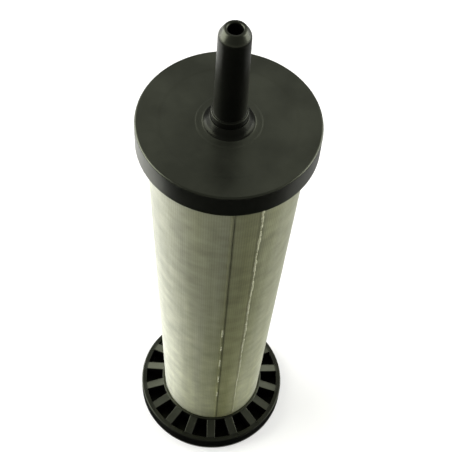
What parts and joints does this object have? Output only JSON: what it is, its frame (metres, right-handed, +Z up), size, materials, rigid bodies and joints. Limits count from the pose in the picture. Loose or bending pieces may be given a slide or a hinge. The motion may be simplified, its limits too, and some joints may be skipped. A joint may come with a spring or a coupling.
{
  "type": "air stone",
  "caption": "Upright fine-bubble air stone: a tapered stainless mesh cartridge on a ribbed black foot, with a push-on cap and a straight hose tail.",
  "frame": {"origin": "centre of the foot's underside, on the surface the air stone stands on", "axes": "+Z up along the cartridge towards the hose tail; -Y is the front, and the mesh's seam strip is just to its right, towards +X"},
  "size_m": [0.0568, 0.0568, 0.2096],
  "materials": {
    "black_plastic": "satin moulded black plastic",
    "grey_plastic": "matt moulded dark grey plastic",
    "fine_mesh": "fine woven stainless wire, satin",
    "backing_mesh": "coarse woven stainless wire",
    "stainless_steel": "rolled and turned stainless steel",
    "rubber": "moulded black rubber"
  },
  "bodies": {
    "cartridge": {"foot": "black_plastic", "foot_gasket": "rubber", "foot_screw": "stainless_steel", "foot_screw_washer": "stainless_steel", "ballast_gasket": "rubber", "ballast_weight": "stainless_steel", "core_cage": "grey_plastic", "backing_mesh": "backing_mesh", "mesh_sleeve": "fine_mesh", "seam_strip": "fine_mesh", "top_band": "stainless_steel"},
    "cap": {"top_cap": "black_plastic", "cap_gasket": "rubber", "cap_o_ring": "rubber", "hose_tail": "black_plastic", "hose_tail_o_ring": "rubber", "nut_washer": "stainless_steel", "back_nut": "black_plastic"}
  },
  "joints": [
    {"name": "cap_lift", "type": "slide", "parent": "cartridge", "child": "cap", "axis": [0, 0, 1], "range_m": [0, 0.02]}
  ]
}
